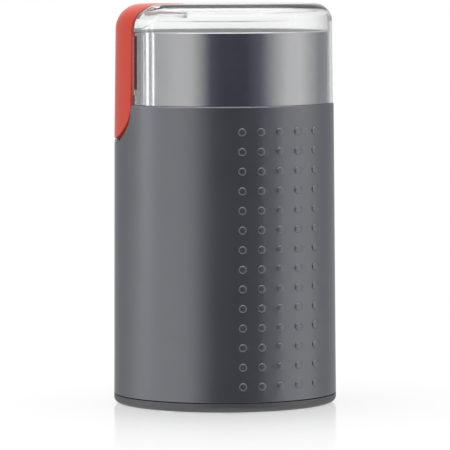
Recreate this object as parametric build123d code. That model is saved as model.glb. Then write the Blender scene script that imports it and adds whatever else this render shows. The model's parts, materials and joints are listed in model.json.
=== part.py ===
from build123d import *
import math
import os

os.makedirs("parts", exist_ok=True)

# Electric blade coffee grinder, in millimetres.
# Z is up, the floor is Z = 0, the grip dots face -Y and the press bar is on -X.

# Base plate and feet
FOOT_PROUD = 0.5
FOOT_THICKNESS = 2.0
FOOT_R = 5.0
FOOT_INSET = 12.0
FOOT_ANGLES = (0, 90, 180, 270)
BASE_BAND = 3.5
BASE_EDGE_ROUND = 2.2
SEAM = 0.4
SPIGOT_HEIGHT = 5.4
SPIGOT_WALL = 2.0
VENT_COUNT = 16
VENT_WIDTH = 2.2
VENT_INNER_R = 10.0
VENT_FOOT_GAP = 3.0

# Body shell
BODY_R_FOOT = 44.0
BODY_DRAFT = 0.7
SHELL_WALL = 2.0
SHOULDER_ROUND = 0.6
COLUMN_R = 4.0
COLUMN_WALL_GAP = 5.3
COLUMN_ANGLES = (45, 135, 225, 315)
WEB_WIDTH = 2.4
PILOT_DEPTH = 14.0

# Raised grip dots, a square grid moulded towards -Y
DOT_R = 1.5
DOT_HEIGHT = 0.45
DOT_SIDES = 8
DOT_PITCH = 7.57
DOT_COLUMNS = 5
DOT_FIRST_X = 2.05
DOT_FIRST_Z = 5.8
DOT_TOP_MARGIN = 9.0

# Cord gland in the rear wall
GLAND_Z = 11.0
GLAND_R = 6.5
GLAND_FLANGE = 1.0
GLAND_NECK_R = 5.0
GLAND_BORE_R = 3.3
GLAND_REACH = 7.0

# Grinding bowl
BOWL_GAP = 0.3
BOWL_SHEET = 0.7
BOWL_CORNER_R = 12.0
BOWL_RIM_SHARE = 0.4
BOWL_NUT_R = 14.5
BOWL_NUT_HEIGHT = 3.3

# Lid
LID_GAP = 0.25
LID_WALL = 1.75
LID_DRAFT = 0.3
LID_HEIGHT = 39.2
LID_TOP_WALL = 1.8
LID_HEADROOM = 9.0
LID_CORNER_R = 10.0
LID_INNER_CORNER_R = 7.6
GUIDE_RIB = 1.2
GUIDE_DEPTH = 6.0

# Press bar in the lid and the notch below it
BAR_HALF_WIDTH = 19.2
BAR_GAP = 0.25
BAR_END_X = -16.0
BAR_END_ROUND = 10.0
TIP_DROP = 13.5
PRESS_TRAVEL = 2.0
NOTCH_GAP = 0.3
TONGUE_THICKNESS = 0.5
TONGUE_DEPTH = 0.9
TONGUE_GAP = 0.1
TONGUE_START = 6.0
TONGUE_LENGTH = 21.0
CLOSING_WALL = 1.4
PAD_MARGIN = 3.0
PAD_SKIRT = 2.0

# Switch under the press bar
SLIDER_GAP = 0.3
SLIDER_HALF_WIDTH = 4.4
SLIDER_THICKNESS = 1.0
SLIDER_LENGTH = 6.3
ARM_THICKNESS = 2.0
ARM_HALF_WIDTH = 2.3
PIN_INSET = 6.3
PIN_R = 1.5
PIN_FIT = 0.1
PIN_ENTRY = 4.0
SPRING_LENGTH = 5.9
SPRING_WIRE = 0.5
SPRING_TURNS = 3
SPRING_GAP = 0.35
SPRING_SEAT = 0.1
CASE_THICKNESS = 7.2
CASE_HALF_WIDTH = 10.0
CASE_HEIGHT = 13.0
CASE_GAP = 0.3
CASE_RIB = 5.2
BRACKET_SHEET = 0.8
BRACKET_HEIGHT = 9.0
BRACKET_SCREW = 5.7
TERMINAL_LENGTH = 6.0
TERMINAL_WIDTH = 4.8
TERMINAL_SHEET = 0.8

# Motor, stacked from the base upwards
MOTOR_CLEARANCE = 9.4
BEARING_CUP = 8.0
CUP_FLOOR = 1.5
CUP_WALL = 3.5
LOWER_PLATE = 3.0
COMMUTATOR_FLOOR_GAP = 2.0
COMMUTATOR_LENGTH = 12.0
COMMUTATOR_R = 9.0
COMMUTATOR_GAP = 2.0
COMMUTATOR_BARS = 10
BAR_SLIT = 0.5
RISER = 1.0
WINDING_HEIGHT = 7.0
WINDING_INSET = 1.5
WINDING_BORE_GAP = 0.5
STACK_HEIGHT = 30.0
ARMATURE_SHARE = 0.62
ARMATURE_SLOTS = 10
SLOT_DEPTH_SHARE = 0.64
SLOT_PITCH_SHARE = 0.78
SLOT_MOUTH = 1.6
SLOT_LINER = 0.15
AIR_GAP = 0.5
FAN_GAP = 2.0
FAN_HEIGHT = 7.0
FAN_PLATE = 1.5
FAN_BLADES = 9
FAN_BLADE = 1.2
FAN_HUB_R = 7.0
FAN_CLEARANCE = 3.5
FAN_TIP_GAP = 1.0
FRAME_PLATE = 3.0
FRAME_EDGE_GAP = 2.8
FRAME_OPENING = 9.0
FRAME_LEDGE = 1.0
NECK_SHOULDER = 6.9
NECK_WALL = 3.0
SEAT_FLANGE = 5.0
NECK_PROUD = 1.0
GROMMET = 1.5
STATOR_GAP = 1.5
STATOR_FLAT_DEPTH = 4.5
POLE_HALF_ANGLE = 60.0
COIL_GAP = 0.5
COIL_OVERHANG = 6.0
POST_R = 3.5
POST_EDGE = 0.5
BOLT_R = 2.0
BOLT_HEAD_R = 3.5
BOLT_HEAD = 2.5
BOLT_ANGLES = (45, 225)
SCREW_R = 1.5
SCREW_HEAD_R = 3.0
SCREW_HEAD = 1.8
SCREW_FIT = 0.05
HOLE_FIT = 0.2

# Shaft, bearings, brushes and blade
SHAFT_R = 3.0
SHAFT_FIT = 0.02
RUNNING_FIT = 0.05
BUSH_WALL = 3.0
BUSH_FIT = 0.02
WASHER = 1.5
SEAL_HEIGHT = 3.0
COLLAR_R = 5.0
COLLAR_HEIGHT = 2.0
COLLAR_GAP = 0.4
BRUSH_WIDTH = 5.0
BRUSH_HEIGHT = 6.0
BRUSH_LENGTH = 7.0
BRUSH_FIT = 0.1
BRUSH_SPRING = 5.0
BRUSH_ANGLES = (135, 315)
HOLDER_WALL = 0.8
HOLDER_GAP = 1.5
BLADE_SHEET = 1.6
BLADE_TIP_GAP = 6.3
BLADE_ROOT_HALF = 8.0
BLADE_TIP_HALF = 4.5
BLADE_FLAT = 9.0
BLADE_RISE = 4.0
BLADE_BEVEL = 1.1
BLADE_ANGLE = 35.0
CAP_NUT_R = 6.0
CAP_NUT_HEX = 3.2
CAP_NUT_WALL = 1.6
CAP_DOME_SHARE = 0.8

# Heights, from the floor up
base_z0 = FOOT_PROUD
base_z1 = base_z0 + BASE_BAND
shell_z0 = base_z1 + SEAM
spigot_z1 = base_z1 + SPIGOT_HEIGHT
cup_z0 = base_z1 + MOTOR_CLEARANCE
lower_z0 = cup_z0 + BEARING_CUP
lower_z1 = lower_z0 + LOWER_PLATE
commutator_z0 = lower_z1 + COMMUTATOR_FLOOR_GAP
commutator_z1 = commutator_z0 + COMMUTATOR_LENGTH
winding_z0 = commutator_z1 + COMMUTATOR_GAP
stack_z0 = winding_z0 + WINDING_HEIGHT
stack_z1 = stack_z0 + STACK_HEIGHT
winding_z1 = stack_z1 + WINDING_HEIGHT
fan_z0 = winding_z1 + FAN_GAP
fan_z1 = fan_z0 + FAN_HEIGHT
frame_z0 = fan_z1 + FAN_CLEARANCE
frame_z1 = frame_z0 + FRAME_PLATE
column_z1 = frame_z0 - GROMMET
bowl_floor_z = frame_z1 + NECK_SHOULDER
bowl_inner_floor_z = bowl_floor_z + BOWL_SHEET
neck_z1 = bowl_inner_floor_z + BOWL_NUT_HEIGHT + NECK_PROUD
collar_z0 = neck_z1 + COLLAR_GAP
blade_z0 = collar_z0 + COLLAR_HEIGHT
blade_z1 = blade_z0 + BLADE_SHEET
shoulder_z = bowl_floor_z + BOWL_CORNER_R
lid_top_z = shoulder_z + LID_HEIGHT
bowl_rim_z = lid_top_z - LID_TOP_WALL - LID_HEADROOM
tip_z = shoulder_z - TIP_DROP
notch_z = tip_z - PRESS_TRAVEL - NOTCH_GAP
slider_z1 = tip_z - SLIDER_GAP
slider_z0 = slider_z1 - SLIDER_LENGTH
slot_z0 = slider_z0 - PRESS_TRAVEL - NOTCH_GAP
case_z1 = slider_z0 - SPRING_LENGTH
case_z0 = case_z1 - CASE_HEIGHT

# Radii, from the outside in
body_shoulder_r = BODY_R_FOOT - BODY_DRAFT
body_inner_r = body_shoulder_r - SHELL_WALL
foot_circle_r = BODY_R_FOOT - FOOT_INSET
vent_outer_r = foot_circle_r - FOOT_R - VENT_FOOT_GAP
bowl_r = body_inner_r - BOWL_GAP
blade_r = bowl_r - BOWL_SHEET - BLADE_TIP_GAP
lid_inner_r = bowl_r + LID_GAP
lid_foot_r = lid_inner_r + LID_WALL
lid_shoulder_r = lid_foot_r - LID_DRAFT
lid_corner_z = lid_top_z - LID_CORNER_R
tongue_r0 = lid_inner_r + (LID_WALL - TONGUE_THICKNESS) / 2 - LID_DRAFT / 2
tongue_r1 = tongue_r0 + TONGUE_THICKNESS
closing_r1 = lid_inner_r - BAR_GAP
closing_r0 = closing_r1 - CLOSING_WALL
slider_r0 = closing_r1 + SLIDER_GAP
slider_r1 = slider_r0 + SLIDER_THICKNESS
pin_x = PIN_INSET - slider_r0
column_circle_r = body_inner_r - COLUMN_WALL_GAP
stator_r = column_circle_r - COLUMN_R - STATOR_GAP
bolt_circle_r = stator_r - POST_EDGE - POST_R
stator_slot_r = bolt_circle_r - POST_R
fan_r = bolt_circle_r - POST_R - FAN_TIP_GAP
frame_r = body_inner_r - FRAME_EDGE_GAP
bush_r0 = SHAFT_R + RUNNING_FIT
bush_r1 = bush_r0 + BUSH_WALL
neck_bore_r = bush_r1 + BUSH_FIT
neck_r = neck_bore_r + NECK_WALL
coil_r1 = stator_slot_r - COIL_GAP
armature_r = coil_r1 * ARMATURE_SHARE
coil_r0 = armature_r + 2 * AIR_GAP
winding_r = armature_r - WINDING_INSET
armature_slot_r = armature_r - (armature_r - SHAFT_R) * SLOT_DEPTH_SHARE
armature_slot_width = 2 * math.pi * armature_slot_r / ARMATURE_SLOTS * SLOT_PITCH_SHARE
rib_y0 = CASE_HALF_WIDTH + CASE_GAP
rib_y1 = rib_y0 + CASE_RIB
case_x1 = pin_x + CASE_THICKNESS / 2
case_x0 = pin_x - CASE_THICKNESS / 2
far = 2 * BODY_R_FOOT

# Brush holders, centred on the commutator's track
brush_r0 = COMMUTATOR_R + RUNNING_FIT
brush_r1 = brush_r0 + BRUSH_LENGTH
brush_z = (commutator_z0 + commutator_z1 - RISER) / 2
channel_half = BRUSH_WIDTH / 2 + BRUSH_FIT
holder_r0 = COMMUTATOR_R + HOLDER_GAP
holder_r1 = brush_r1 + BRUSH_SPRING + HOLDER_WALL
holder_half = channel_half + HOLDER_WALL
holder_z0 = brush_z - BRUSH_HEIGHT / 2 - BRUSH_FIT - HOLDER_WALL
holder_z1 = brush_z + BRUSH_HEIGHT / 2 + BRUSH_FIT + HOLDER_WALL

column_spots = [Rot(0, 0, angle) * Pos(column_circle_r, 0, 0) for angle in COLUMN_ANGLES]
foot_spots = [Rot(0, 0, angle) * Pos(foot_circle_r, 0, 0) for angle in FOOT_ANGLES]
bolt_spots = [Rot(0, 0, angle) * Pos(bolt_circle_r, 0, 0) for angle in BOLT_ANGLES]
brush_turns = [Rot(0, 0, angle) for angle in BRUSH_ANGLES]


def body_r(z):
    """Outer radius of the body at a height."""
    return BODY_R_FOOT - BODY_DRAFT * (z - shell_z0) / (shoulder_z - shell_z0)


def rod(radius, z0, z1):
    """An upright cylinder on the axis."""
    return Pos(0, 0, z0) * extrude(Circle(radius), z1 - z0)


def ring(inner_r, outer_r, z0, z1):
    """An upright ring on the axis."""
    return Pos(0, 0, z0) * extrude(Circle(outer_r) - Circle(inner_r), z1 - z0)


def block(x0, x1, y0, y1, z0, z1):
    """A box between two corners."""
    middle = Pos((x0 + x1) / 2, (y0 + y1) / 2, (z0 + z1) / 2)
    return middle * Box(x1 - x0, y1 - y0, z1 - z0)


def profile(*corners):
    """A face in the XZ plane through (x, z) corners, each with an optional rounding radius."""
    face = make_face(Polyline(*[corner[:2] for corner in corners], close=True))
    for x, z, radius in [corner for corner in corners if len(corner) == 3]:
        face = fillet(face.vertices().sort_by_distance((x, z, 0))[0], radius)
    return Plane.XZ * face


def turned(*corners):
    """A solid turned about the axis from (radius, z) corners."""
    return revolve(profile(*corners), Axis.Z)


def copies(shape, spots):
    """One part holding the shape at each spot."""
    return Part(children=[spot * shape for spot in spots])


def body_solid(offset, z0, z1):
    """The body's tapered outside as a full solid, grown by an offset."""
    return turned((0, z0), (body_r(z0) + offset, z0), (body_r(z1) + offset, z1), (0, z1))


def lid_outside():
    """The outside of the lid as a full solid."""
    return turned(
        (0, shoulder_z),
        (lid_foot_r, shoulder_z),
        (lid_shoulder_r, lid_corner_z),
        (lid_shoulder_r, lid_top_z, LID_CORNER_R),
        (0, lid_top_z),
    )


def hollow_under_lid(z0):
    """The space under the lid and the press bar as a full solid."""
    inner_top_z = lid_top_z - LID_TOP_WALL
    return turned((0, z0), (lid_inner_r, z0), (lid_inner_r, inner_top_z, LID_INNER_CORNER_R), (0, inner_top_z))


def bar_plan(margin, z0, z1):
    """Prism over the press bar's plan: straight sides and a rounded inner end, grown by a margin."""
    half = BAR_HALF_WIDTH + margin
    round_x = BAR_END_X - BAR_END_ROUND
    sides = Pos((round_x - far) / 2, 0) * Rectangle(far + round_x, 2 * half)
    end = Pos(round_x, 0) * Ellipse(BAR_END_ROUND + margin, half)
    return Pos(0, 0, z0) * extrude(sides + end, z1 - z0)


def bar_front(margin, drop):
    """Prism along X over the press bar's face with its half-elliptic tip, lowered by a drop."""
    half = BAR_HALF_WIDTH + margin
    tip = Pos(0, shoulder_z - drop) * Ellipse(half, TIP_DROP + margin)
    sides = Pos(0, (lid_top_z + far + shoulder_z - drop) / 2) * Rectangle(
        2 * half, lid_top_z + far - shoulder_z + drop
    )
    return extrude(Plane.YZ * (tip + sides), -far)


def coil_spring(mean_r, length):
    """A flat-wire compression spring standing on Z = 0, swept along tangent arcs."""
    rise = length - SPRING_WIRE
    steps = 4 * SPRING_TURNS  # quarter turns
    points = [
        (
            mean_r * math.cos(math.pi / 2 * step),
            mean_r * math.sin(math.pi / 2 * step),
            SPRING_WIRE / 2 + rise * step / steps,
        )
        for step in range(steps + 1)
    ]
    slope = rise / SPRING_TURNS / (2 * math.pi * mean_r)
    tangent = Vector(0, 1, slope)
    arcs = []
    for start, end in zip(points, points[1:]):
        arc = TangentArc(start, end, tangent=tangent)
        arcs.append(arc)
        tangent = arc % 1
    path = Wire(arcs)
    section = Plane(origin=path @ 0, z_dir=path % 0) * Rectangle(SPRING_WIRE, SPRING_WIRE)
    return sweep(section, path=path)


def make_body_shell():
    outside = body_solid(0, shell_z0, shoulder_z)
    outside = fillet(outside.edges().group_by(Axis.Z)[-1], SHOULDER_ROUND)
    shell = outside - body_solid(-SHELL_WALL, shell_z0, shoulder_z)

    column = rod(COLUMN_R, spigot_z1, column_z1)
    web = block(0, COLUMN_WALL_GAP + SHELL_WALL, -WEB_WIDTH / 2, WEB_WIDTH / 2, spigot_z1, column_z1)
    inside = copies(column + web, column_spots)
    inside += block(-far, case_x1, rib_y0, rib_y1, case_z0, case_z1)
    inside += block(-far, case_x1, -rib_y1, -rib_y0, case_z0, case_z1)
    inside = inside & body_solid(-SHELL_WALL / 2, shell_z0, shoulder_z)

    corner_r = bowl_r - BOWL_CORNER_R
    below_corner = math.sqrt(BOWL_CORNER_R**2 - (closing_r0 - BOWL_GAP - corner_r) ** 2)
    pad_half = BAR_HALF_WIDTH + PAD_MARGIN
    pad = ring(closing_r0, body_r(slot_z0) - SHELL_WALL / 2, slot_z0 - PAD_SKIRT, shoulder_z - below_corner)
    pad = pad & block(-far, 0, -pad_half, pad_half, 0, lid_top_z)
    shell = shell + inside + pad

    shell -= bar_front(NOTCH_GAP, PRESS_TRAVEL) - rod(closing_r1, 0, lid_top_z)
    slot = ring(closing_r0 - CLOSING_WALL, slider_r1 + SLIDER_GAP, slot_z0, slider_z1)
    slot = slot - ring(closing_r0 - CLOSING_WALL, closing_r1, notch_z, slider_z1)
    slot_half = SLIDER_HALF_WIDTH + SLIDER_GAP
    shell -= slot & block(-far, 0, -slot_half, slot_half, 0, lid_top_z)

    pilot = rod(SCREW_R + SCREW_FIT, 0, PILOT_DEPTH)
    shell -= copies(Pos(0, 0, spigot_z1) * pilot, column_spots)
    shell -= copies(Pos(0, 0, column_z1 - PILOT_DEPTH) * pilot, column_spots)
    shell -= bracket_screw_shanks(SCREW_FIT)
    shell -= gland_space()

    rows = math.floor((shoulder_z - shell_z0 - DOT_FIRST_Z - DOT_TOP_MARGIN) / DOT_PITCH) + 1
    for column in range(DOT_COLUMNS):
        x = DOT_FIRST_X + DOT_PITCH * column
        spots = [Pos(x, shell_z0 + DOT_FIRST_Z + DOT_PITCH * row) for row in range(rows)]
        dots = Sketch(children=[spot * RegularPolygon(DOT_R, DOT_SIDES) for spot in spots])
        turn = math.degrees(math.asin(x / BODY_R_FOOT)) - 90
        shell += extrude(Plane.XZ * dots, far) & Rot(0, 0, turn) * dot_slab()
    return shell


def dot_slab():
    """A slab along the body's wall towards +X, half in the wall and a dot's height proud of it."""
    inner_r = SHELL_WALL / 2
    side = profile(
        (body_r(shell_z0) - inner_r, shell_z0),
        (body_r(shell_z0) + DOT_HEIGHT, shell_z0),
        (body_r(shoulder_z) + DOT_HEIGHT, shoulder_z),
        (body_r(shoulder_z) - inner_r, shoulder_z),
    )
    return extrude(side, DOT_PITCH, both=True)


def gland_space():
    """Counterbored hole for the cord gland through the rear wall."""
    face_y = math.sqrt(body_r(shell_z0 + GLAND_Z) ** 2 - GLAND_R**2)
    hole = extrude(Plane.XZ * Circle(GLAND_NECK_R), -far)
    counterbore = Pos(0, face_y - GLAND_FLANGE, 0) * extrude(Plane.XZ * Circle(GLAND_R + SCREW_FIT), -far)
    return Pos(0, 0, shell_z0 + GLAND_Z) * (hole + counterbore)


def make_cord_gland():
    face_y = math.sqrt(body_r(shell_z0 + GLAND_Z) ** 2 - GLAND_R**2)
    flange = extrude(Plane.XZ * Circle(GLAND_R), GLAND_FLANGE)
    neck = extrude(Plane.XZ * Circle(GLAND_NECK_R - SCREW_FIT), GLAND_REACH)
    bore = extrude(Plane.XZ * Circle(GLAND_BORE_R), GLAND_REACH)
    return Pos(0, face_y, shell_z0 + GLAND_Z) * (flange + neck - bore)


def make_base_plate():
    plate = turned(
        (0, base_z0),
        (BODY_R_FOOT, base_z0, BASE_EDGE_ROUND),
        (BODY_R_FOOT, base_z1),
        (0, base_z1),
    )
    spigot_r = body_r(spigot_z1) - SHELL_WALL - BOWL_GAP
    plate += ring(spigot_r - SPIGOT_WALL, spigot_r, base_z1, spigot_z1)
    plate += copies(rod(COLUMN_R, base_z1, spigot_z1), column_spots)
    plate -= copies(rod(SCREW_R + HOLE_FIT, 0, spigot_z1), column_spots)
    plate -= copies(rod(SCREW_HEAD_R + HOLE_FIT, 0, base_z0 + SCREW_HEAD), column_spots)
    plate -= copies(rod(FOOT_R, 0, FOOT_THICKNESS), foot_spots)
    vent = block(VENT_INNER_R, vent_outer_r, -VENT_WIDTH / 2, VENT_WIDTH / 2, 0, spigot_z1)
    turns = [Rot(0, 0, 360 * index / VENT_COUNT) for index in range(VENT_COUNT)]
    return plate - copies(vent, turns)


def make_base_screws():
    screw = rod(SCREW_HEAD_R, base_z0 + SCREW_FIT, base_z0 + SCREW_HEAD)
    screw += rod(SCREW_R, base_z0 + SCREW_FIT, spigot_z1 + PILOT_DEPTH - SCREW_HEAD)
    return copies(screw, column_spots)


def make_rubber_feet():
    foot = rod(FOOT_R - SCREW_FIT, 0, FOOT_THICKNESS)
    foot = chamfer(foot.edges().group_by(Axis.Z)[0], FOOT_PROUD / 2)
    return copies(foot, foot_spots)


def make_grinding_bowl():
    inner_corner = BOWL_CORNER_R - BOWL_SHEET
    rim_edge = BOWL_SHEET * BOWL_RIM_SHARE
    return turned(
        (neck_r + HOLE_FIT, bowl_floor_z),
        (bowl_r, bowl_floor_z, BOWL_CORNER_R),
        (bowl_r, bowl_rim_z - rim_edge),
        (bowl_r - rim_edge, bowl_rim_z),
        (bowl_r - BOWL_SHEET + rim_edge, bowl_rim_z),
        (bowl_r - BOWL_SHEET, bowl_rim_z - rim_edge),
        (bowl_r - BOWL_SHEET, bowl_inner_floor_z, inner_corner),
        (neck_r + HOLE_FIT, bowl_inner_floor_z),
    )


def make_bowl_nut():
    nut = extrude(RegularPolygon(BOWL_NUT_R, 6) - Circle(neck_r + SCREW_FIT), BOWL_NUT_HEIGHT)
    return Pos(0, 0, bowl_inner_floor_z) * nut


def make_shaft_seal():
    z1 = neck_z1 - NECK_PROUD / 2
    return ring(SHAFT_R + RUNNING_FIT, neck_bore_r - BUSH_FIT, z1 - SEAL_HEIGHT, z1)


def frame_opening(hub_r, z0, z1):
    """An air opening through a motor frame's plate, from a ledge round the hub towards +X."""
    opening = ring(hub_r + FRAME_LEDGE, bolt_circle_r, z0, z1)
    return opening & block(0, far, -FRAME_OPENING / 2, FRAME_OPENING / 2, z0, z1)


def make_upper_frame():
    frame = ring(neck_bore_r, frame_r, frame_z0, frame_z1)
    frame += ring(neck_bore_r, neck_r + SEAT_FLANGE, frame_z1, bowl_floor_z)
    frame += ring(neck_bore_r, neck_r, bowl_floor_z, neck_z1)
    frame += copies(rod(POST_R, stack_z1, frame_z0), bolt_spots)
    frame -= copies(rod(BOLT_R + HOLE_FIT, stack_z1, frame_z1), bolt_spots)
    frame -= copies(rod(SCREW_R + HOLE_FIT, frame_z0, frame_z1), column_spots)
    opening = frame_opening(neck_r + SEAT_FLANGE, frame_z0, frame_z1)
    frame -= copies(opening, [Rot(0, 0, angle) for angle in (0, 90, 270)])
    notch_half = CASE_HALF_WIDTH + CASE_GAP
    return frame - block(-far, case_x1 + BRACKET_SHEET, -notch_half, notch_half, frame_z0, frame_z1)


def make_lower_frame():
    cup_bore_z0 = cup_z0 + CUP_FLOOR
    frame = rod(stator_r, lower_z0, lower_z1) + rod(neck_bore_r + CUP_WALL, cup_z0, lower_z0)
    frame -= rod(neck_bore_r, cup_bore_z0, lower_z1)
    frame += copies(rod(POST_R, lower_z1, stack_z0), bolt_spots)
    frame -= copies(rod(BOLT_R + HOLE_FIT, lower_z0, stack_z0), bolt_spots)
    opening = frame_opening(neck_bore_r + CUP_WALL, lower_z0, lower_z1)
    frame -= copies(opening, [Rot(0, 0, angle) for angle in (0, 90, 180, 270)])
    rest = block(holder_r0, holder_r1, -holder_half, holder_half, lower_z1, holder_z0)
    return frame + copies(rest, brush_turns)


def make_brush_holders():
    holder = block(holder_r0, holder_r1, -holder_half, holder_half, holder_z0, holder_z1)
    channel_z0 = holder_z0 + HOLDER_WALL
    channel_z1 = holder_z1 - HOLDER_WALL
    holder -= block(0, holder_r1 - HOLDER_WALL, -channel_half, channel_half, channel_z0, channel_z1)
    return copies(holder, brush_turns)


def make_carbon_brushes():
    half = BRUSH_WIDTH / 2
    brush = block(0, brush_r1, -half, half, brush_z - BRUSH_HEIGHT / 2, brush_z + BRUSH_HEIGHT / 2)
    brush -= rod(brush_r0, 0, stack_z0)
    return copies(brush, brush_turns)


def make_brush_springs():
    spring = coil_spring(BRUSH_WIDTH / 2 - SPRING_WIRE, BRUSH_SPRING - 2 * SPRING_SEAT)
    return copies(Pos(brush_r1 + SPRING_SEAT, 0, brush_z) * Rot(0, 90, 0) * spring, brush_turns)


def make_upper_bearing():
    return ring(bush_r0, bush_r1, frame_z0, bowl_floor_z)


def make_lower_bearing():
    return ring(bush_r0, bush_r1, cup_z0 + CUP_FLOOR, lower_z1)


def make_thrust_washer():
    return ring(SHAFT_R + SHAFT_FIT, bush_r1, lower_z1 + RUNNING_FIT, lower_z1 + RUNNING_FIT + WASHER)


def make_stator_core():
    slot = ring(armature_r, stator_slot_r, stack_z0, stack_z1)
    slot_half_angle = 90 - POLE_HALF_ANGLE
    wedge = Polyline(
        (0, 0),
        (far, -far * math.tan(math.radians(slot_half_angle))),
        (far, far * math.tan(math.radians(slot_half_angle))),
        close=True,
    )
    slot &= Pos(0, 0, stack_z0) * extrude(make_face(wedge), STACK_HEIGHT)
    core = ring(armature_r + AIR_GAP, stator_r, stack_z0, stack_z1)
    flat = stator_r - STATOR_FLAT_DEPTH
    core &= block(-far, far, -flat, flat, stack_z0, stack_z1)
    core -= copies(slot, [Rot(0, 0, 0), Rot(0, 0, 180)])
    return core - copies(rod(BOLT_R + HOLE_FIT, stack_z0, stack_z1), bolt_spots)


def make_field_coils():
    coil = ring(coil_r0, coil_r1, stack_z0 - COIL_OVERHANG, stack_z1 + COIL_OVERHANG)
    coil &= block(-far, far, COIL_GAP, far, 0, lid_top_z)
    pole_half = POLE_HALF_ANGLE + math.degrees(COIL_GAP / coil_r0)
    reach = far * math.tan(math.radians(pole_half))
    pole = make_face(Polyline((0, 0), (reach, far), (-reach, far), close=True))
    coil -= Pos(0, 0, stack_z0 - COIL_GAP) * extrude(pole, STACK_HEIGHT + 2 * COIL_GAP)
    return copies(coil, [Rot(0, 0, 0), Rot(0, 0, 180)])


def make_frame_bolts():
    bolt = rod(BOLT_HEAD_R, lower_z0 - BOLT_HEAD, lower_z0) + rod(BOLT_R, lower_z0, frame_z1 + BOLT_HEAD)
    return copies(bolt, bolt_spots)


def make_frame_nuts():
    nut = Pos(0, 0, frame_z1) * extrude(RegularPolygon(BOLT_HEAD_R, 6) - Circle(BOLT_R + SCREW_FIT), BOLT_HEAD)
    return copies(nut, bolt_spots)


def make_motor_grommets():
    return copies(ring(SCREW_R + HOLE_FIT, COLUMN_R, column_z1, frame_z0), column_spots)


def make_motor_screws():
    screw = rod(SCREW_R, column_z1 - PILOT_DEPTH + SCREW_HEAD, frame_z1)
    screw += rod(SCREW_HEAD_R, frame_z1, frame_z1 + SCREW_HEAD)
    return copies(screw, column_spots)


def make_switch_case():
    case = block(case_x0, case_x1, -CASE_HALF_WIDTH, CASE_HALF_WIDTH, case_z0, case_z1)
    return case - Pos(pin_x, 0, 0) * rod(PIN_R + PIN_FIT, case_z1 - PIN_ENTRY - 2 * PRESS_TRAVEL, case_z1)


def make_switch_terminals():
    half = TERMINAL_WIDTH / 2
    blade = block(pin_x, pin_x + TERMINAL_SHEET, -half, half, case_z0 - TERMINAL_LENGTH, case_z0)
    return copies(blade, [Pos(0, side * CASE_HALF_WIDTH / 2, 0) for side in (-1, 1)])


def bracket_screw_shanks(fit):
    """The two screw shanks that hold the switch bracket, along -X, grown by a fit."""
    x1 = case_x1 + BRACKET_SHEET
    shank = extrude(Plane.YZ * Circle(SCREW_R + fit), -(BRACKET_SCREW + fit))
    middle_z = (case_z0 + case_z1) / 2
    return copies(shank, [Pos(x1, side * (rib_y0 + rib_y1) / 2, middle_z) for side in (-1, 1)])


def make_switch_bracket():
    middle_z = (case_z0 + case_z1) / 2
    half = BRACKET_HEIGHT / 2
    plate = block(case_x1, case_x1 + BRACKET_SHEET, -rib_y1, rib_y1, middle_z - half, middle_z + half)
    return plate - bracket_screw_shanks(HOLE_FIT)


def make_bracket_screws():
    x1 = case_x1 + BRACKET_SHEET
    head = extrude(Plane.YZ * Circle(SCREW_HEAD_R), SCREW_HEAD)
    middle_z = (case_z0 + case_z1) / 2
    heads = [Pos(x1, side * (rib_y0 + rib_y1) / 2, middle_z) * head for side in (-1, 1)]
    shanks = bracket_screw_shanks(0).children
    return Part(children=[top + shank for top, shank in zip(heads, shanks)])


def make_switch_slider():
    blade = ring(slider_r0, slider_r1, slider_z0, slider_z1)
    blade &= block(-far, 0, -SLIDER_HALF_WIDTH, SLIDER_HALF_WIDTH, 0, lid_top_z)
    arm_x0 = -slider_r0 - SLIDER_THICKNESS / 2
    arm_x1 = pin_x + ARM_HALF_WIDTH
    arm = block(arm_x0, arm_x1, -ARM_HALF_WIDTH, ARM_HALF_WIDTH, slider_z0, slider_z0 + ARM_THICKNESS)
    return blade + arm


def make_switch_button():
    return Pos(pin_x, 0, 0) * rod(PIN_R, case_z1 - PIN_ENTRY, slider_z0)


def make_return_spring():
    spring = coil_spring(PIN_R + SPRING_GAP + SPRING_WIRE / 2, SPRING_LENGTH - 2 * SPRING_SEAT)
    return Pos(pin_x, 0, case_z1 + SPRING_SEAT) * spring


def make_motor_shaft():
    shaft = rod(SHAFT_R, cup_z0 + CUP_FLOOR + RUNNING_FIT, blade_z1 + CAP_NUT_HEX)
    return shaft + rod(COLLAR_R, collar_z0, blade_z0)


def armature_slots(margin):
    """The winding slots of the armature as solids, shrunk by a margin."""
    width = armature_slot_width - 2 * margin
    inner_r = armature_slot_r + margin
    outer_r = armature_r - SLOT_MOUTH - margin
    slot = Pos((inner_r + outer_r) / 2, 0) * Rectangle(outer_r - inner_r, width)
    turns = [Rot(0, 0, 360 * index / ARMATURE_SLOTS) for index in range(ARMATURE_SLOTS)]
    return copies(Pos(0, 0, stack_z0) * extrude(slot, STACK_HEIGHT), turns)


def make_armature_core():
    core = ring(SHAFT_R + SHAFT_FIT, armature_r, stack_z0, stack_z1)
    mouth_r = (armature_slot_r + armature_r) / 2
    mouth = block(mouth_r, far, -SLOT_MOUTH / 2, SLOT_MOUTH / 2, stack_z0, stack_z1)
    turns = [Rot(0, 0, 360 * index / ARMATURE_SLOTS) for index in range(ARMATURE_SLOTS)]
    return core - armature_slots(0) - copies(mouth, turns)


def make_armature_windings():
    inner_r = SHAFT_R + WINDING_BORE_GAP
    roll = WINDING_HEIGHT / 2
    lower = turned(
        (inner_r, winding_z0),
        (winding_r - roll, winding_z0),
        (winding_r, winding_z0 + roll),
        (winding_r, stack_z0),
        (inner_r, stack_z0),
    )
    upper = turned(
        (inner_r, stack_z1),
        (winding_r, stack_z1),
        (winding_r, winding_z1 - roll),
        (winding_r - roll, winding_z1),
        (inner_r, winding_z1),
    )
    return lower + armature_slots(SLOT_LINER) + upper


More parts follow.
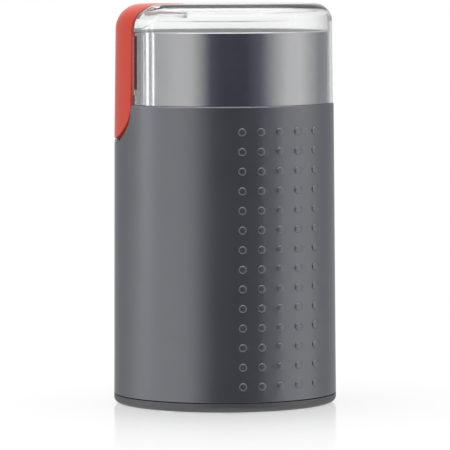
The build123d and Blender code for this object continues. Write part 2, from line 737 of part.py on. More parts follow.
def make_commutator():
    drum = ring(SHAFT_R + SHAFT_FIT, COMMUTATOR_R, commutator_z0, commutator_z1)
    drum += ring(SHAFT_R + SHAFT_FIT, COMMUTATOR_R + RISER, commutator_z1 - RISER, commutator_z1)
    cut = block(COMMUTATOR_R - RISER, far, -BAR_SLIT / 2, BAR_SLIT / 2, commutator_z0, commutator_z1)
    turns = [Rot(0, 0, 360 * index / COMMUTATOR_BARS) for index in range(COMMUTATOR_BARS)]
    return drum - copies(cut, turns)


def make_cooling_fan():
    fan = ring(SHAFT_R + SHAFT_FIT, fan_r, fan_z0, fan_z0 + FAN_PLATE)
    fan += ring(SHAFT_R + SHAFT_FIT, FAN_HUB_R, fan_z0, fan_z1)
    vane = block(FAN_HUB_R - FAN_BLADE, fan_r - FAN_BLADE, -FAN_BLADE / 2, FAN_BLADE / 2, fan_z0, fan_z1)
    turns = [Rot(0, 0, 360 * index / FAN_BLADES) for index in range(FAN_BLADES)]
    return fan + copies(vane, turns)


def make_blade():
    """Two wings, one bent up and one bent down, cut to a tapering plan with swept tips."""
    side = profile(
        (-blade_r, blade_z0 - BLADE_RISE),
        (-BLADE_FLAT, blade_z0),
        (BLADE_FLAT, blade_z0),
        (blade_r, blade_z0 + BLADE_RISE),
        (blade_r, blade_z1 + BLADE_RISE),
        (BLADE_FLAT, blade_z1),
        (-BLADE_FLAT, blade_z1),
        (-blade_r, blade_z1 - BLADE_RISE),
    )
    bent = extrude(side, blade_r, both=True)
    sweep_back = BLADE_TIP_HALF
    wing = make_face(
        Polyline(
            (0, -BLADE_ROOT_HALF),
            (blade_r, -BLADE_TIP_HALF + sweep_back),
            (blade_r - 2 * sweep_back, BLADE_ROOT_HALF),
            (0, BLADE_ROOT_HALF),
            close=True,
        )
    )
    plan = wing + Rot(0, 0, 180) * wing
    plan &= Circle(blade_r)
    blade = bent & Pos(0, 0, blade_z0 - 2 * BLADE_RISE) * extrude(plan, 4 * BLADE_RISE + BLADE_SHEET)
    upper = blade.faces().filter_by(lambda face: face.normal_at().Z > 0)
    cutting = upper.edges().sort_by(SortBy.LENGTH)[-2:]
    blade = chamfer(cutting, BLADE_BEVEL)
    return Rot(0, 0, BLADE_ANGLE) * (blade - rod(SHAFT_R + SHAFT_FIT, 0, lid_top_z))


def make_blade_cap_nut():
    dome_r = CAP_NUT_R * math.cos(math.pi / 6)
    nut = Pos(0, 0, blade_z1) * extrude(RegularPolygon(CAP_NUT_R, 6), CAP_NUT_HEX)
    dome_z0 = blade_z1 + CAP_NUT_HEX
    dome_z1 = dome_z0 + SHAFT_FIT + CAP_NUT_WALL + dome_r / 2
    nut += turned((0, dome_z0), (dome_r, dome_z0), (dome_r, dome_z1, dome_r * CAP_DOME_SHARE), (0, dome_z1))
    return nut - rod(SHAFT_R + SHAFT_FIT, blade_z1, dome_z0 + SHAFT_FIT)


def make_lid():
    outside = lid_outside()
    lid = outside - hollow_under_lid(shoulder_z)
    rib_z0 = lid_top_z - GUIDE_DEPTH
    rib = bar_plan(BAR_GAP + GUIDE_RIB, rib_z0, lid_top_z) & outside
    lid = lid + rib
    lid -= bar_plan(BAR_GAP, shoulder_z, lid_top_z)
    z0 = shoulder_z + TONGUE_START - PRESS_TRAVEL - TONGUE_GAP
    z1 = shoulder_z + TONGUE_START + TONGUE_LENGTH + TONGUE_GAP
    half = BAR_HALF_WIDTH + TONGUE_DEPTH + BAR_GAP
    groove = ring(tongue_r0 - TONGUE_GAP, tongue_r1 + TONGUE_GAP, z0, z1)
    return lid - (groove & block(-far, 0, -half, half, z0, z1))


def make_press_bar():
    face = turned(
        (0, tip_z),
        (body_r(tip_z), tip_z),
        (lid_shoulder_r, lid_corner_z),
        (lid_shoulder_r, lid_top_z, LID_CORNER_R),
        (0, lid_top_z),
    )
    cap = face - hollow_under_lid(tip_z)
    bar = cap & bar_front(0, 0) & bar_plan(0, 0, lid_top_z)
    z0 = shoulder_z + TONGUE_START
    half = BAR_HALF_WIDTH + TONGUE_DEPTH
    tongue = ring(tongue_r0, tongue_r1, z0, z0 + TONGUE_LENGTH) & block(-far, 0, -half, half, 0, lid_top_z)
    return bar + tongue


pieces = {
    "body_shell": make_body_shell,
    "cord_gland": make_cord_gland,
    "base_plate": make_base_plate,
    "base_screws": make_base_screws,
    "rubber_feet": make_rubber_feet,
    "grinding_bowl": make_grinding_bowl,
    "bowl_nut": make_bowl_nut,
    "shaft_seal": make_shaft_seal,
    "upper_frame": make_upper_frame,
    "lower_frame": make_lower_frame,
    "upper_bearing": make_upper_bearing,
    "lower_bearing": make_lower_bearing,
    "stator_core": make_stator_core,
    "field_coils": make_field_coils,
    "frame_bolts": make_frame_bolts,
    "frame_nuts": make_frame_nuts,
    "motor_grommets": make_motor_grommets,
    "motor_screws": make_motor_screws,
    "brush_holders": make_brush_holders,
    "carbon_brushes": make_carbon_brushes,
    "brush_springs": make_brush_springs,
    "switch_case": make_switch_case,
    "switch_terminals": make_switch_terminals,
    "switch_bracket": make_switch_bracket,
    "bracket_screws": make_bracket_screws,
    "return_spring": make_return_spring,
    "switch_slider": make_switch_slider,
    "switch_button": make_switch_button,
    "motor_shaft": make_motor_shaft,
    "thrust_washer": make_thrust_washer,
    "armature_core": make_armature_core,
    "armature_windings": make_armature_windings,
    "commutator": make_commutator,
    "cooling_fan": make_cooling_fan,
    "blade": make_blade,
    "blade_cap_nut": make_blade_cap_nut,
    "lid": make_lid,
    "press_bar": make_press_bar,
}
for name, make in pieces.items():
    export_step(make(), f"parts/{name}.step")
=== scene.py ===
import json
import math

import bpy
from mathutils import Matrix, Vector


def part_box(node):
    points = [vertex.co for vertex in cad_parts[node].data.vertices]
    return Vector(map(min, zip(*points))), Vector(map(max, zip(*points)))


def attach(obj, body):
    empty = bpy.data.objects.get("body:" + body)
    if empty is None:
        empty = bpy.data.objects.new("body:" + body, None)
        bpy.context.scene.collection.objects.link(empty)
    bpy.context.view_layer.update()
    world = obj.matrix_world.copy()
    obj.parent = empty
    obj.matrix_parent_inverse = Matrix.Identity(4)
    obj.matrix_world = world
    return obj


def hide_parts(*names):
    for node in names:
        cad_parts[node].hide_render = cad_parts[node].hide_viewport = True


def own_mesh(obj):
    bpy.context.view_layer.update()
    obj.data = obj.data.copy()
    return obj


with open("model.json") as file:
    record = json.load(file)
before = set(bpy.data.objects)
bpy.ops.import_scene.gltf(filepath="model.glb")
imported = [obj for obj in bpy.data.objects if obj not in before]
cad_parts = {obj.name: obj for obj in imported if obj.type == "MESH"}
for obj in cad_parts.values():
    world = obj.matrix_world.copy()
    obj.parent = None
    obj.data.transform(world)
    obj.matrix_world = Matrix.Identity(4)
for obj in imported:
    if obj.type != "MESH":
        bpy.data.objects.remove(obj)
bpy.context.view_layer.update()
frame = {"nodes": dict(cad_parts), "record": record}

# Millimetres in Blender's metres
MM = 0.001

# Camera, from the photograph's framing
CAMERA_PLACE = Vector((-0.1643, -1.5633, 0.1759))
CAMERA_AIM = Vector((0.0002, 0.0, 0.0704))
CAMERA_LENS = 318.4
CAMERA_SENSOR = 36.0
CAMERA_ROLL = math.radians(-0.2)
CAMERA_NEAR = 0.1
CAMERA_FAR = 100.0

# Body taper
BODY_FOOT_R = 44.0 * MM
BODY_DRAFT = 0.7 * MM

# Copies of CAD nodes: play at a surface, what counts as one place, and the step for slopes
WALL_SLACK = 0.05 * MM
WELD = 0.001 * MM
SLOPE_STEP = 0.02 * MM

# Grip dots, a square grid on the right half of the front
DOT_PITCH = 7.57 * MM
DOT_COLUMNS = 5
DOT_ROWS = 14
DOT_FIRST_X = 2.4 * MM
DOT_FIRST_RISE = 6.1 * MM
DOT_RADIUS = 1.6 * MM
DOT_HEIGHT = 0.45 * MM
DOT_SQUARENESS = 0.72
DOT_SEGMENTS = 28
DOT_RINGS = 14
# Keeps a root off zero at the middle of a dot
TINY = 1e-12

# Lid: its walls and corners in the solid, how much tighter the corners get, and the turn from the press bar
LID_WALL = 1.75 * MM
LID_TOP_WALL = 1.8 * MM
LID_DRAFT = 0.3 * MM
LID_CORNER_R = 10.0 * MM
LID_INNER_CORNER_R = 7.6 * MM
LID_TIGHTER = 3.0 * MM
LID_PLAIN_TURN = math.radians(32.0)
LID_FADE_TURN = math.radians(16.0)

# Middle of the bowl's wall
BOWL_MIDDLE_R = 40.6 * MM

# Base screws
SCREW_COUNT = 4
SCREW_CIRCLE_R = 36.0 * MM
SCREW_FIRST_TURN = math.pi / 4
SCREW_HEAD_R = 3.0 * MM
SCREW_HEAD_HEIGHT = 1.75 * MM
SCREW_HEAD_SIDES = 40
SCREW_SHANK_R = 1.5 * MM
SCREW_SHANK_SIDES = 24
CROSS_LENGTH = 3.4 * MM
CROSS_WIDTH = 0.8 * MM
CROSS_DEPTH = 1.0 * MM

# Return spring under the switch slider
SPRING_WIRE_R = 0.25 * MM
SPRING_WIRE_SIDES = 12
SPRING_TURNS = 3.0
SPRING_STEPS_A_TURN = 40

# Features of noise and waves to the metre
PLASTIC_CLOUDS = 55.0
PLASTIC_GRAIN = 2600.0
RUBBER_GRAIN = 1500.0
CARBON_GRAIN = 3500.0
PRESS_GRAIN = 3000.0
METAL_CLOUDS = 90.0
LID_RIPPLE = 60.0
LID_HAZE = 900.0
COPPER_STRANDS = 700.0
CORE_SHEETS = 320.0
CORE_RUST = 240.0

# Mean of a grey mask
MIDDLE_GREY = 0.5

# Strength and depth of fine relief
PLASTIC_RELIEF = (0.16, 0.05 * MM)
METAL_RELIEF = (0.12, 0.01 * MM)
BOWL_RELIEF = (0.04, 0.01 * MM)
LID_RELIEF = (0.06, 0.3 * MM)
STRAND_RELIEF = (0.6, 0.2 * MM)
SHEET_RELIEF = (0.5, 0.1 * MM)

# Radius of softened edges, and the samples that find them
PLASTIC_EDGE = 0.3 * MM
PRESS_EDGE = 0.5 * MM
METAL_EDGE = 0.15 * MM
STRAND_EDGE = 0.3 * MM
SHEET_EDGE = 0.2 * MM
EDGE_SAMPLES = 6

# Working lines or grain to the metre along each axis
DRAWN_LINES = (30.0, 30.0, 2500.0)
GROUND_LINES = (400.0, 2600.0, 400.0)
ROLLED_LINES = (300.0, 300.0, 2400.0)
PLATED_GRAIN = (900.0, 900.0, 900.0)
SINTERED_GRAIN = (2000.0, 2000.0, 2000.0)

# Lid plastic
LID_COLOUR = (0.992, 0.995, 0.995, 1.0)
LID_SHADOW_COLOUR = (0.93, 0.94, 0.94, 1.0)
LID_IOR = 1.49

# Brightness of the surroundings by the turn from the front, in degrees, right positive:
# at the horizon and just below it
STUDIO_LEVELS = (
    (-180.0, 1.0, 1.0),
    (-170.0, 0.65, 0.65),
    (-158.0, 0.36, 0.38),
    (-136.0, 0.38, 0.44),
    (-122.0, 0.44, 0.58),
    (-110.0, 0.42, 1.0),
    (-100.0, 0.44, 0.95),
    (-82.0, 0.6, 0.78),
    (-56.0, 0.72, 0.78),
    (-42.0, 0.68, 0.74),
    (-30.0, 0.4, 0.38),
    (-20.0, 0.13, 0.07),
    (-8.0, 0.086, 0.03),
    (18.0, 0.086, 0.03),
    (34.0, 0.17, 0.11),
    (50.0, 0.47, 0.45),
    (66.0, 0.75, 0.75),
    (84.0, 0.82, 0.83),
    (98.0, 0.62, 0.65),
    (118.0, 0.355, 0.43),
    (140.0, 0.345, 0.43),
    (158.0, 0.49, 0.53),
    (170.0, 0.83, 0.83),
    (180.0, 1.0, 1.0),
)
# Drop or rise of a ray over which the levels just below, of the table and of the ceiling take over
LOW_DROP = (0.05, 0.09)
TABLE_DROP = (0.3, 0.6)
TABLE_LEVEL = 0.7
CEILING_RISE = (0.35, 0.8)
CEILING_LEVEL = 1.1
# Tint of the dark levels, and the level from which there is none
SHADE_TINT = (0.74, 0.79, 1.14)
TINT_UP_TO = 0.45
# Rays bent in the lid that see the white background: backward over a range, or up past a rise
BENT_BACKWARD = (0.76, 0.94)
BENT_RISE = 0.16
# Limits on a ray's depth: past the first one it has met a surface, up to the second it has crossed one wall
ONE_SURFACE = 0.5
ONE_WALL = 2.5

# Table: its front edge and reach, how white it stays between two radii, and its gloss
TABLE_FRONT = -0.4
TABLE_REACH = 30.0
TABLE_WHITE = 0.8
TABLE_WHITE_R = (0.1, 0.5)
TABLE_COLOUR = (0.92, 0.92, 0.92, 1.0)
GLOSS_AT_FOOT = 0.33
GLOSS_FADE = 0.065
GLOSS_ROUGHNESS = 0.12

# Lamps: a softbox above, and window strips on the left by turn from the front in degrees, width and watts
SOFTBOX_PLACE = Vector((0.0, 0.1, 1.6))
SOFTBOX_AIM = Vector((0.0, 0.0, 0.0))
SOFTBOX_SIZE = 2.0
SOFTBOX_WATTS = 15.0
WINDOWS = ((-88.0, 0.055, 0.36), (-96.3, 0.085, 0.56), (-102.3, 0.025, 0.14))
WINDOW_DISTANCE = 1.5
WINDOW_Z = 0.47
WINDOW_HEIGHT = 1.0
WINDOW_AIM = Vector((0.0, 0.0, 0.12))

WHITE = (1.0, 1.0, 1.0)


class Flow:
    """A socket of a node tree. Arithmetic on it adds Math nodes."""

    def __init__(self, bench, socket):
        self.bench = bench
        self.socket = socket

    def __add__(self, other):
        return self.bench.maths("ADD", self, other)

    def __radd__(self, other):
        return self.bench.maths("ADD", other, self)

    def __sub__(self, other):
        return self.bench.maths("SUBTRACT", self, other)

    def __rsub__(self, other):
        return self.bench.maths("SUBTRACT", other, self)

    def __mul__(self, other):
        return self.bench.maths("MULTIPLY", self, other)

    def __rmul__(self, other):
        return self.bench.maths("MULTIPLY", other, self)

    def __truediv__(self, other):
        return self.bench.maths("DIVIDE", self, other)

    def __pow__(self, other):
        return self.bench.maths("POWER", self, other)


class Bench:
    """A node tree in which a finish, a light or a repeated piece is laid out."""

    def __init__(self, tree):
        self.tree = tree

    def feed(self, socket, value):
        """Sets a socket's value, or links it to a flow or to each flow of a list."""
        for item in value if isinstance(value, list) else [value]:
            if isinstance(item, Flow):
                self.tree.links.new(item.socket, socket)
            else:
                socket.default_value = item

    def node(self, kind, inputs=None, out=0, stops=None, **settings):
        """Adds a node: its settings first, then the values or links of its sockets."""
        made = self.tree.nodes.new(kind)
        for name, value in settings.items():
            setattr(made, name, value)
        if stops:
            ramp = made.color_ramp
            while len(ramp.elements) < len(stops):
                ramp.elements.new(1.0)
            for element, (place, grey) in zip(ramp.elements, stops):
                element.position = place
                element.color = (grey, grey, grey, 1.0)
        for name, value in (inputs or {}).items():
            self.feed(made.inputs[name], value)
        return Flow(self, made.outputs[out]) if made.outputs else None

    def maths(self, operation, first, second=0.0):
        """A Math node on one or two values."""
        return self.node("ShaderNodeMath", {0: first, 1: second}, operation=operation)

    def axes(self, vector):
        """The x, y and z of a vector."""
        split = self.node("ShaderNodeSeparateXYZ", {0: vector}).socket.node
        return [Flow(self, output) for output in split.outputs]

    def vector(self, x, y, z):
        """A vector of three values."""
        return self.node("ShaderNodeCombineXYZ", {0: x, 1: y, 2: z})

    def rise(self, value, span, least=0.0):
        """A smooth rise to one as a value goes over a span."""
        inputs = {"Value": value, "From Min": span[0], "From Max": span[1], "To Min": least}
        return self.node("ShaderNodeMapRange", inputs, interpolation_type="SMOOTHSTEP")


def new_finish(name):
    """A material with its bench and Object coordinates."""
    material = bpy.data.materials.new(name)
    material.use_nodes = True
    material.node_tree.nodes.clear()
    bench = Bench(material.node_tree)
    place = bench.node("ShaderNodeTexCoord", out="Object")
    return material, bench, place


def noise(bench, place, scale, detail=2.0, roughness=0.5):
    """Grey noise with this many features to the metre."""
    inputs = {"Vector": place, "Scale": scale, "Detail": detail, "Roughness": roughness}
    return bench.node("ShaderNodeTexNoise", inputs)


def working_lines(bench, place, streak):
    """Grey noise stretched by different scales along the axes."""
    stretched = bench.node("ShaderNodeVectorMath", {0: place, 1: streak}, operation="MULTIPLY")
    return noise(bench, stretched, scale=1.0, detail=3.0, roughness=0.6)


def from_axis(bench, place):
    """Distance from the grinder's upright axis."""
    x, y = bench.axes(place)[:2]
    return (x * x + y * y) ** 0.5


def varied(mean, *swings):
    """A value that swings about its mean with grey masks, each with its swing."""
    for mask, swing in swings:
        mean = mean + swing * (mask - MIDDLE_GREY)
    return mean


def shade_between(bench, mask, dark, light):
    """A colour between two, by a grey mask."""
    inputs = {"Factor": mask, 6: (*dark, 1.0), 7: (*light, 1.0)}
    return bench.node("ShaderNodeMix", inputs, out=2, data_type="RGBA")


def relief(bench, height, depths, edge=None):
    """A normal with a fine relief, of a strength and a depth, and with softened edges if they are given."""
    inputs = {"Height": height, "Strength": depths[0], "Distance": depths[1]}
    if edge:
        inputs["Normal"] = bench.node("ShaderNodeBevel", {"Radius": edge}, samples=EDGE_SAMPLES)
    return bench.node("ShaderNodeBump", inputs)


def close_finish(bench, values):
    """A Principled shader on the output."""
    surface = bench.node("ShaderNodeBsdfPrincipled", values)
    bench.node("ShaderNodeOutputMaterial", {"Surface": surface})


def moulded_plastic(name, dark, light, rough, metal=0.0, grain=PLASTIC_GRAIN, edge=PLASTIC_EDGE):
    """Moulded plastic, rubber or carbon: an even grain, slight mottling and rounded edges."""
    material, bench, place = new_finish(name)
    clouds = noise(bench, place, PLASTIC_CLOUDS, detail=3.0)
    fine = noise(bench, place, grain, roughness=0.6)
    values = {
        "Base Color": shade_between(bench, 0.6 * clouds + 0.4 * fine, dark, light),
        "Roughness": varied(rough, (clouds, 0.06), (fine, 0.05)),
        "Metallic": metal,
        "Normal": relief(bench, fine, PLASTIC_RELIEF, edge),
    }
    close_finish(bench, values)
    return material


def clear_plastic():
    """Clear lid plastic with a faint moulding ripple, which lets lamp light through."""
    material, bench, place = new_finish("lid_clear")
    ripple = noise(bench, place, LID_RIPPLE, detail=1.0)
    haze = noise(bench, place, LID_HAZE, detail=3.0)
    values = {
        "Base Color": LID_COLOUR,
        "Roughness": 0.015 + 0.03 * haze,
        "Transmission Weight": 1.0,
        "IOR": LID_IOR,
        "Normal": relief(bench, ripple, LID_RELIEF),
    }
    surface = bench.node("ShaderNodeBsdfPrincipled", values)
    through = bench.node("ShaderNodeBsdfTransparent", {"Color": LID_SHADOW_COLOUR})
    shadow = bench.node("ShaderNodeLightPath", out="Is Shadow Ray")
    lit = bench.node("ShaderNodeMixShader", {0: shadow, 1: surface, 2: through})
    bench.node("ShaderNodeOutputMaterial", {"Surface": lit})
    return material


def worked_metal(name, dark, light, rough, streak):
    """Metal with fine working lines, by how many there are to the metre along each axis."""
    material, bench, place = new_finish(name)
    lines = working_lines(bench, place, streak)
    clouds = noise(bench, place, METAL_CLOUDS, detail=3.0)
    values = {
        "Base Color": shade_between(bench, 0.5 * clouds + 0.5 * lines, dark, light),
        "Metallic": 1.0,
        "Roughness": varied(rough, (lines, 0.08), (clouds, 0.05)),
        "Normal": relief(bench, lines, METAL_RELIEF, METAL_EDGE),
    }
    close_finish(bench, values)
    return material


def bowl_steel():
    """Drawn steel, polished outside and satin inside, with the inside painted paler: painted light that
    lifts the shaded inside of the bowl.
    """
    material, bench, place = new_finish("bowl_steel")
    inside = bench.maths("LESS_THAN", from_axis(bench, place), BOWL_MIDDLE_R)
    lines = working_lines(bench, place, DRAWN_LINES)
    clouds = noise(bench, place, METAL_CLOUDS, detail=3.0)
    # The inside is painted paler than the outside, as painted light against the shade inside the bowl; the
    # clouds and lines are the steel's own grain.
    paler = 0.25 * clouds + 0.25 * lines + 0.5 * inside
    values = {
        "Base Color": shade_between(bench, paler, (0.53, 0.53, 0.54), (0.67, 0.67, 0.68)),
        "Metallic": 1.0,
        "Roughness": varied(0.1 + 0.6 * inside, (lines, 0.08), (clouds, 0.05)),
        "Normal": relief(bench, lines, BOWL_RELIEF, METAL_EDGE),
    }
    close_finish(bench, values)
    return material


def wound_copper():
    """Enamelled copper wire, laid side by side on a slant."""
    material, bench, place = new_finish("enamelled_copper")
    wave = {"Vector": place, "Scale": COPPER_STRANDS, "Distortion": 1.5, "Detail": 1.0}
    strands = bench.node("ShaderNodeTexWave", wave, bands_direction="DIAGONAL")
    values = {
        "Base Color": shade_between(bench, strands, (0.30, 0.09, 0.03), (0.70, 0.30, 0.12)),
        "Metallic": 0.85,
        "Roughness": 0.28 + 0.15 * strands,
        "Normal": relief(bench, strands, STRAND_RELIEF, STRAND_EDGE),
    }
    close_finish(bench, values)
    return material


def stacked_sheets():
    """Varnished lamination stack: thin sheets across the motor's axis."""
    material, bench, place = new_finish("lamination_stack")
    sheets = bench.node("ShaderNodeTexWave", {"Vector": place, "Scale": CORE_SHEETS}, bands_direction="Z")
    rust = noise(bench, place, CORE_RUST, detail=4.0)
    paler = 0.6 * sheets + 0.4 * rust
    values = {
        "Base Color": shade_between(bench, paler, (0.06, 0.055, 0.055), (0.24, 0.22, 0.21)),
        "Metallic": 0.8,
        "Roughness": 0.42 + 0.2 * rust,
        "Normal": relief(bench, sheets, SHEET_RELIEF, SHEET_EDGE),
    }
    close_finish(bench, values)
    return material


finishes = {
    "body_plastic": moulded_plastic(
        "body_satin_grey", (0.215, 0.222, 0.243), (0.24, 0.247, 0.268), 0.3, metal=0.85
    ),
    "base_plastic": moulded_plastic(
        "base_satin_grey", (0.13, 0.132, 0.14), (0.155, 0.157, 0.165), 0.42, metal=0.6
    ),
    "rubber": moulded_plastic(
        "foot_rubber", (0.018, 0.018, 0.019), (0.035, 0.035, 0.036), 0.75, grain=RUBBER_GRAIN
    ),
    "polished_steel": bowl_steel(),
    "blade_steel": worked_metal("ground_steel", (0.5, 0.5, 0.5), (0.62, 0.62, 0.62), 0.24, GROUND_LINES),
    "plated_steel": worked_metal("zinc_plate", (0.52, 0.53, 0.52), (0.66, 0.67, 0.65), 0.3, PLATED_GRAIN),
    "frame_nylon": moulded_plastic("natural_nylon", (0.62, 0.6, 0.54), (0.72, 0.7, 0.64), 0.5),
    "lamination_steel": stacked_sheets(),
    "copper_winding": wound_copper(),
    "bearing_bronze": worked_metal(
        "sintered_bronze", (0.36, 0.24, 0.12), (0.5, 0.36, 0.2), 0.4, SINTERED_GRAIN
    ),
    "contact_brass": worked_metal("plain_brass", (0.6, 0.43, 0.17), (0.74, 0.56, 0.27), 0.28, ROLLED_LINES),
    "carbon": moulded_plastic(
        "brush_carbon", (0.012, 0.012, 0.013), (0.04, 0.04, 0.042), 0.6, grain=CARBON_GRAIN
    ),
    "switch_plastic": moulded_plastic("switch_black", (0.012, 0.011, 0.011), (0.024, 0.022, 0.022), 0.45),
    "clear_plastic": clear_plastic(),
    "press_plastic": moulded_plastic(
        "press_bar_red", (0.62, 0.045, 0.016), (0.69, 0.055, 0.02), 0.34, grain=PRESS_GRAIN, edge=PRESS_EDGE
    ),
}
for part in frame["record"]["subparts"]:
    slots = frame["nodes"][part["node"]].data.materials
    slots.clear()
    slots.append(finishes[part["material_slot"]])


def placed(name, data):
    """A new object in the scene, at the origin."""
    made = bpy.data.objects.new(name, data)
    bpy.context.scene.collection.objects.link(made)
    return made


def new_tree(name, inputs):
    """A geometry tree with named number inputs, its bench and their flows."""
    tree = bpy.data.node_groups.new(name, "GeometryNodeTree")
    for title, value in inputs.items():
        kind = "NodeSocketInt" if isinstance(value, int) else "NodeSocketFloat"
        tree.interface.new_socket(title, in_out="INPUT", socket_type=kind)
    tree.interface.new_socket("Geometry", in_out="OUTPUT", socket_type="NodeSocketGeometry")
    bench = Bench(tree)
    entry = tree.nodes.new("NodeGroupInput")
    return tree, bench, {title: Flow(bench, entry.outputs[title]) for title in inputs}


def moved(bench, geometry, place, turn=(0.0, 0.0, 0.0)):
    """Geometry turned and then moved to a place."""
    inputs = {"Geometry": geometry, "Translation": place, "Rotation": turn}
    return bench.node("GeometryNodeTransform", inputs)


def raised(bench, geometry, height):
    """Geometry moved up by a height."""
    return moved(bench, geometry, bench.vector(0.0, 0.0, height))


def set_out(bench, points, piece):
    """A copy of a piece on each point, as real geometry."""
    copies = bench.node("GeometryNodeInstanceOnPoints", {"Points": points, "Instance": piece})
    return bench.node("GeometryNodeRealizeInstances", {"Geometry": copies})


def close_tree(bench, geometry, slot, smooth=True):
    """Ends a tree in real geometry with a slot's finish."""
    real = bench.node("GeometryNodeRealizeInstances", {"Geometry": geometry})
    if smooth:
        real = bench.node("GeometryNodeSetShadeSmooth", {0: real})
    dressed = bench.node("GeometryNodeSetMaterial", {"Geometry": real, "Material": finishes[slot]})
    bench.node("NodeGroupOutput", {"Geometry": dressed})


def grow(name, tree, inputs, body, slot):
    """Runs a geometry tree and keeps its result as a plain mesh that rides on a body."""
    holder = placed(name + "_tree", bpy.data.meshes.new(name + "_tree"))
    modifier = holder.modifiers.new(name, "NODES")
    modifier.node_group = tree
    for item in tree.interface.items_tree:
        if item.in_out == "INPUT":
            modifier[item.identifier] = inputs[item.name]
    bpy.context.view_layer.update()
    evaluated = holder.evaluated_get(bpy.context.evaluated_depsgraph_get())
    mesh = bpy.data.meshes.new_from_object(evaluated)
    bpy.data.objects.remove(holder)
    mesh.name = name
    mesh.materials.clear()
    mesh.materials.append(finishes[slot])
    piece = placed(name, mesh)
    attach(piece, body)
    return piece


def reshape_node(name, node, body, slot, rule):
    """A welded copy of a CAD node, its places and normals put through a rule, in the node's stead."""
    source = frame["nodes"][node].data
    known, places, faces, normals = {}, [], [], []
    for face in source.polygons:
        ring, turned = [], []
        for loop in face.loop_indices:
            place = source.vertices[source.loops[loop].vertex_index].co.copy()
            place, normal = rule(place, source.corner_normals[loop].vector.copy())
            key = tuple(round(value / WELD) for value in place)
            if key not in known:
                known[key] = len(places)
                places.append(place)
            ring.append(known[key])
            turned.append(normal)
        if len(set(ring)) == len(ring):
            faces.append(ring)
            normals.extend(turned)
    mesh = bpy.data.meshes.new(name)
    mesh.from_pydata(places, [], faces)
    mesh.shade_smooth()
    mesh.normals_split_custom_set(normals)
    mesh.materials.append(finishes[slot])
    piece = placed(name, mesh)
    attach(piece, body)
    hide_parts(node)


def make_plain_shell():
    """The body shell with an even front wall, for the round dots to stand on."""
    low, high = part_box("body_shell")
    rise = high.z - low.z

    def onto_wall(place, normal):
        """Presses what stands out at the front back onto the tapered wall."""
        wall_r = BODY_FOOT_R - BODY_DRAFT * (place.z - low.z) / rise
        if place.y < 0.0 and place.xy.length > wall_r + WALL_SLACK:
            place.y = -math.sqrt(wall_r**2 - place.x**2)
            normal = Vector((place.x, place.y, wall_r * BODY_DRAFT / rise)).normalized()
        return place, normal

    reshape_node("plain_shell", "body_shell", "housing", "body_plastic", onto_wall)


def make_clear_lid():
    """The lid with tighter corners, apart from where the press bar crosses them."""
    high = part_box("lid")[1]
    outside = (high.y - LID_DRAFT, high.z, LID_CORNER_R)
    inside = (high.y - LID_WALL, high.z - LID_TOP_WALL, LID_INNER_CORNER_R)

    def from_centre(place, corner):
        """How far out and up a place lies from the centre of a corner's arc."""
        reach, top, radius = corner
        return Vector((place.xy.length - reach + radius, place.z - top + radius))

    def tightened(place, corner):
        """Where a place on a corner's arc lies on the tighter arc."""
        reach, top, radius = corner
        turn = math.atan2(abs(place.y), -place.x)
        share = max(0.0, min(1.0, (turn - LID_PLAIN_TURN) / LID_FADE_TURN))
        cut = LID_TIGHTER * share * share * (3.0 - 2.0 * share)
        out, up = from_centre(place, corner) * (1.0 - cut / radius) + Vector((cut, cut))
        wider = (reach - radius + out) / place.xy.length
        return Vector((place.x * wider, place.y * wider, top - radius + up))

    def onto_corner(place, normal):
        """Moves a place on either arc, and turns its normal by the slopes of that move."""
        for corner in (outside, inside):
            spot = from_centre(place, corner)
            if min(spot) > -WALL_SLACK and abs(spot.length - corner[2]) < WALL_SLACK:
                slopes = Matrix.Identity(3) * SLOPE_STEP
                for axis, step in enumerate(slopes.copy()):
                    slopes[axis] = tightened(place + step, corner) - tightened(place - step, corner)
                return tightened(place, corner), (slopes.inverted() @ normal).normalized()
        return place, normal

    reshape_node("clear_lid", "lid", "lid", "clear_plastic", onto_corner)


